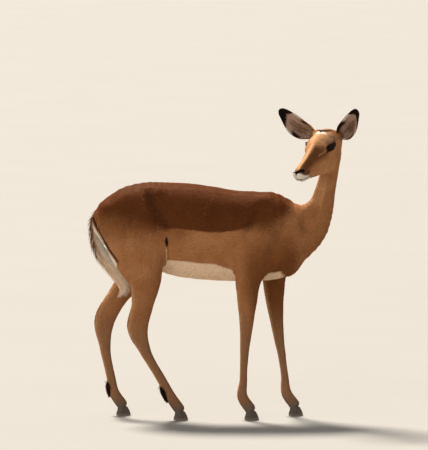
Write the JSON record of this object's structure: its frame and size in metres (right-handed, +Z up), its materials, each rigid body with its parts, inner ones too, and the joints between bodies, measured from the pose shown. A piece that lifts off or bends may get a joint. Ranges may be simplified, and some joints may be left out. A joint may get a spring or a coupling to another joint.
{
  "type": "antelope model",
  "caption": "Life-size still model of an impala ewe, standing and looking back over her right shoulder, for museum and landscape scenes.",
  "frame": {"origin": "on the floor, under the middle of the bounding box", "axes": "+X is the way the trunk faces, +Y the animal's left side, +Z up; the head is turned back over the right shoulder, towards -X and -Y"},
  "size_m": [1.0046, 0.3526, 1.1715],
  "materials": {
    "short_coat": "matte short fur",
    "long_hair": "matte long hair",
    "ear": "matte short fur",
    "black_hair": "matte long hair",
    "eye": "wet gloss",
    "hoof_horn": "satin horn"
  },
  "bodies": {
    "root": {"head": "short_coat", "neck": "short_coat", "trunk": "short_coat", "tail": "long_hair", "ear_left": "ear", "ear_right": "ear", "eye_left": "eye", "eye_right": "eye", "leg_hind_right_upper": "short_coat", "leg_hind_right_cannon": "short_coat", "leg_hind_right_pastern": "short_coat", "leg_hind_left_upper": "short_coat", "leg_hind_left_cannon": "short_coat", "leg_hind_left_pastern": "short_coat", "leg_fore_right_upper": "short_coat", "leg_fore_right_cannon": "short_coat", "leg_fore_right_pastern": "short_coat", "leg_fore_left_upper": "short_coat", "leg_fore_left_cannon": "short_coat", "leg_fore_left_pastern": "short_coat", "gland_tuft_left": "black_hair", "gland_tuft_right": "black_hair", "hind_right_claw_inner": "hoof_horn", "hind_right_claw_outer": "hoof_horn", "hind_left_claw_inner": "hoof_horn", "hind_left_claw_outer": "hoof_horn", "fore_right_claw_inner": "hoof_horn", "fore_right_claw_outer": "hoof_horn", "fore_left_claw_inner": "hoof_horn", "fore_left_claw_outer": "hoof_horn"}
  },
  "joints": []
}
